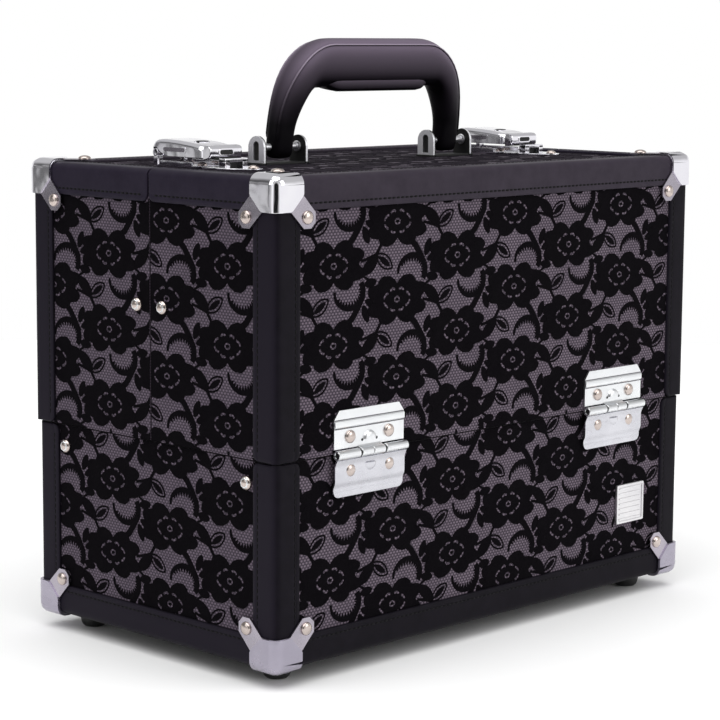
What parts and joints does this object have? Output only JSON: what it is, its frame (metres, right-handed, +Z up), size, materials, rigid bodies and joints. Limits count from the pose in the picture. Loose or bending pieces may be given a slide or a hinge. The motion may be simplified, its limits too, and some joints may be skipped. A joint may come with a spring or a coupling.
{
  "type": "makeup train case",
  "caption": "Lace-covered makeup train case with swing-out lid halves, cantilever trays, metal corners, snap latches and a folding handle.",
  "frame": {"origin": "middle of the case on the plane of the four foot bottoms", "axes": "+X along the case's length, the hinged front with the badge plate faces -Y, +Z up"},
  "size_m": [0.3422, 0.2004, 0.3261],
  "materials": {
    "lace_panel": "hardboard covered in purple-grey satin under black floral lace",
    "binding_leather": "satin black-purple faux leather with a stitched edge",
    "handle_leather": "smooth black faux leather",
    "chrome": "polished chrome plate",
    "satin_metal": "satin nickel plate",
    "plated_steel": "bright zinc-plated steel",
    "foot_rubber": "moulded matt rubber",
    "tray_plastic": "fine-grained black plastic"
  },
  "bodies": {
    "base": {"base_floor": "lace_panel", "base_front_panel": "lace_panel", "base_rear_panel": "lace_panel", "base_left_panel": "lace_panel", "base_right_panel": "lace_panel", "base_edge_binding": "binding_leather", "badge_plate": "satin_metal", "bottom_corner_cap_front_left": "satin_metal", "bottom_corner_cap_front_right": "satin_metal", "bottom_corner_cap_rear_left": "satin_metal", "bottom_corner_cap_rear_right": "satin_metal", "foot_front_left": "foot_rubber", "foot_front_right": "foot_rubber", "foot_rear_left": "foot_rubber", "foot_rear_right": "foot_rubber", "lower_hinge_leaf_front_left": "plated_steel", "lower_hinge_leaf_front_right": "plated_steel", "lower_hinge_leaf_rear_left": "plated_steel", "lower_hinge_leaf_rear_right": "plated_steel"},
    "front_lid": {"front_lid_left_panel": "lace_panel", "front_lid_right_panel": "lace_panel", "front_lid_face_panel": "lace_panel", "front_lid_top_panel": "lace_panel", "front_lid_edge_binding": "binding_leather", "top_corner_cap_front_left": "chrome", "top_corner_cap_front_right": "chrome", "upper_hinge_leaf_front_left": "plated_steel", "upper_hinge_leaf_front_right": "plated_steel", "front_outer_link_left": "plated_steel", "front_outer_link_right": "plated_steel", "latch_keeper_left": "chrome", "latch_keeper_right": "chrome"},
    "front_link_left": {"front_inner_link_left": "plated_steel"},
    "front_link_right": {"front_inner_link_right": "plated_steel"},
    "front_lower_tray": {"front_lower_tray": "tray_plastic"},
    "front_upper_tray": {"front_upper_tray": "tray_plastic"},
    "rear_lid": {"rear_lid_left_panel": "lace_panel", "rear_lid_right_panel": "lace_panel", "rear_lid_face_panel": "lace_panel", "rear_lid_top_panel": "lace_panel", "rear_lid_edge_binding": "binding_leather", "top_corner_cap_rear_left": "chrome", "top_corner_cap_rear_right": "chrome", "upper_hinge_leaf_rear_left": "plated_steel", "upper_hinge_leaf_rear_right": "plated_steel", "rear_outer_link_left": "plated_steel", "rear_outer_link_right": "plated_steel", "latch_base_left": "chrome", "latch_base_right": "chrome", "handle_bracket_left": "chrome", "handle_bracket_right": "chrome"},
    "rear_link_left": {"rear_inner_link_left": "plated_steel"},
    "rear_link_right": {"rear_inner_link_right": "plated_steel"},
    "rear_lower_tray": {"rear_lower_tray": "tray_plastic"},
    "rear_upper_tray": {"rear_upper_tray": "tray_plastic"},
    "carry_handle": {"carry_handle": "handle_leather"},
    "latch_lever_left": {"latch_lever_left": "chrome"},
    "latch_hook_left": {"latch_hook_left": "chrome"},
    "latch_lever_right": {"latch_lever_right": "chrome"},
    "latch_hook_right": {"latch_hook_right": "chrome"}
  },
  "joints": [
    {"name": "front_lid_hinge", "type": "hinge", "parent": "base", "child": "front_lid", "pos_m": [0, -0.0978, 0.1165], "axis": [1, 0, 0], "range_deg": [0, 90]},
    {"name": "front_link_left_swing", "type": "hinge", "parent": "base", "child": "front_link_left", "pos_m": [-0.1575, -0.0725, 0.1045], "axis": [1, 0, 0], "range_deg": [0, 90]},
    {"name": "front_link_right_swing", "type": "hinge", "parent": "base", "child": "front_link_right", "pos_m": [0.1575, -0.0725, 0.1045], "axis": [1, 0, 0], "range_deg": [0, 90]},
    {"name": "front_lower_tray_level", "type": "hinge", "parent": "front_link_left", "child": "front_lower_tray", "pos_m": [-0.1575, -0.03995, 0.13104], "axis": [1, 0, 0], "range_deg": [-90, 0]},
    {"name": "front_upper_tray_level", "type": "hinge", "parent": "front_link_left", "child": "front_upper_tray", "pos_m": [-0.1575, -0.00663, 0.15822], "axis": [1, 0, 0], "range_deg": [-90, 0]},
    {"name": "rear_lid_hinge", "type": "hinge", "parent": "base", "child": "rear_lid", "pos_m": [0, 0.0978, 0.1165], "axis": [-1, 0, 0], "range_deg": [0, 90]},
    {"name": "rear_link_left_swing", "type": "hinge", "parent": "base", "child": "rear_link_left", "pos_m": [-0.1575, 0.0725, 0.1045], "axis": [-1, 0, 0], "range_deg": [0, 90]},
    {"name": "rear_link_right_swing", "type": "hinge", "parent": "base", "child": "rear_link_right", "pos_m": [0.1575, 0.0725, 0.1045], "axis": [-1, 0, 0], "range_deg": [0, 90]},
    {"name": "rear_lower_tray_level", "type": "hinge", "parent": "rear_link_left", "child": "rear_lower_tray", "pos_m": [-0.1575, 0.03995, 0.13104], "axis": [-1, 0, 0], "range_deg": [-90, 0]},
    {"name": "rear_upper_tray_level", "type": "hinge", "parent": "rear_link_left", "child": "rear_upper_tray", "pos_m": [-0.1575, 0.00663, 0.15822], "axis": [-1, 0, 0], "range_deg": [-90, 0]},
    {"name": "carry_handle_fold", "type": "hinge", "parent": "rear_lid", "child": "carry_handle", "pos_m": [0, 0.00725, 0.2675], "axis": [1, 0, 0], "range_deg": [-87, 72]},
    {"name": "latch_lever_left_lift", "type": "hinge", "parent": "rear_lid", "child": "latch_lever_left", "pos_m": [-0.121, 0.035, 0.2655], "axis": [-1, 0, 0], "range_deg": [0, 100]},
    {"name": "latch_hook_left_release", "type": "hinge", "parent": "latch_lever_left", "child": "latch_hook_left", "pos_m": [-0.121, -0.0046, 0.2689], "axis": [-1, 0, 0], "range_deg": [0, 22], "stiffness_Nm_per_rad": 0.02},
    {"name": "latch_lever_right_lift", "type": "hinge", "parent": "rear_lid", "child": "latch_lever_right", "pos_m": [0.121, 0.035, 0.2655], "axis": [-1, 0, 0], "range_deg": [0, 100]},
    {"name": "latch_hook_right_release", "type": "hinge", "parent": "latch_lever_right", "child": "latch_hook_right", "pos_m": [0.121, -0.0046, 0.2689], "axis": [-1, 0, 0], "range_deg": [0, 22], "stiffness_Nm_per_rad": 0.02}
  ],
  "couplings": [
    {"joint": "front_link_left_swing", "follows": "front_lid_hinge", "ratio": 1},
    {"joint": "front_link_right_swing", "follows": "front_lid_hinge", "ratio": 1},
    {"joint": "front_lower_tray_level", "follows": "front_lid_hinge", "ratio": -1},
    {"joint": "front_upper_tray_level", "follows": "front_lid_hinge", "ratio": -1},
    {"joint": "rear_link_left_swing", "follows": "rear_lid_hinge", "ratio": 1},
    {"joint": "rear_link_right_swing", "follows": "rear_lid_hinge", "ratio": 1},
    {"joint": "rear_lower_tray_level", "follows": "rear_lid_hinge", "ratio": -1},
    {"joint": "rear_upper_tray_level", "follows": "rear_lid_hinge", "ratio": -1}
  ]
}
